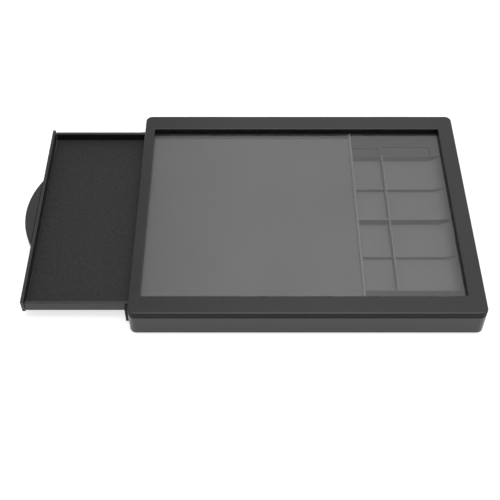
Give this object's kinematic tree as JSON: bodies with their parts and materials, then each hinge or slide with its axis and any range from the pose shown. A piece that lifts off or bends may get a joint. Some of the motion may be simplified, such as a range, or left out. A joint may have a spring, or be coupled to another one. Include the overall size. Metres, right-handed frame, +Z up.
{
  "type": "watercolor palette box",
  "caption": "Flat rectangular paint palette case with a hinged windowed lid, a moulded tray of wells and mixing area, and a shallow side drawer with a crescent pull.",
  "frame": {"origin": "centre of the case's flat underside; the rubber feet stand 1 mm lower", "axes": "+Z up through the lid, +X to the right along the case's length, -X the side the drawer slides out of, +Y to the back, where the lid is hinged"},
  "size_m": [0.4032, 0.2469, 0.0288],
  "materials": {
    "black_gloss_plastic": "semi-gloss moulded",
    "black_satin_plastic": "satin moulded",
    "grey_palette_plastic": "satin moulded",
    "clear_window_plastic": "clear, polished",
    "drawer_liner_sheet": "fine leather-like emboss",
    "black_rubber": "matt",
    "white_glide_plastic": "smooth",
    "screw_steel": "zinc plated"
  },
  "bodies": {
    "case": {"base_shell": "black_gloss_plastic", "mouth_flange": "black_satin_plastic", "drawer_runner_front": "black_satin_plastic", "drawer_runner_back": "black_satin_plastic", "bay_wall": "black_satin_plastic", "palette_tray": "grey_palette_plastic", "foot_front_left": "black_rubber", "foot_front_right": "black_rubber", "foot_back_left": "black_rubber", "foot_back_right": "black_rubber", "glide_front": "white_glide_plastic", "glide_back": "white_glide_plastic", "hinge_pin_left": "screw_steel", "hinge_pin_right": "screw_steel", "flange_screw_front": "screw_steel", "flange_screw_back": "screw_steel"},
    "lid": {"lid_frame": "black_gloss_plastic", "window_pane": "clear_window_plastic", "pane_retainer": "black_satin_plastic"},
    "drawer": {"drawer_tray": "black_satin_plastic", "drawer_liner": "drawer_liner_sheet", "drawer_end_panel": "black_satin_plastic", "drawer_pull": "black_satin_plastic", "drawer_stop_front": "black_rubber", "drawer_stop_back": "black_rubber"}
  },
  "joints": [
    {"name": "lid_hinge", "type": "hinge", "parent": "case", "child": "lid", "pos_m": [0, 0.1236, 0.0208], "axis": [-1, 0, 0], "range_deg": [0, 110]},
    {"name": "drawer_slide", "type": "slide", "parent": "case", "child": "drawer", "axis": [-1, 0, 0], "range_m": [-0.0849, 0.065]}
  ]
}
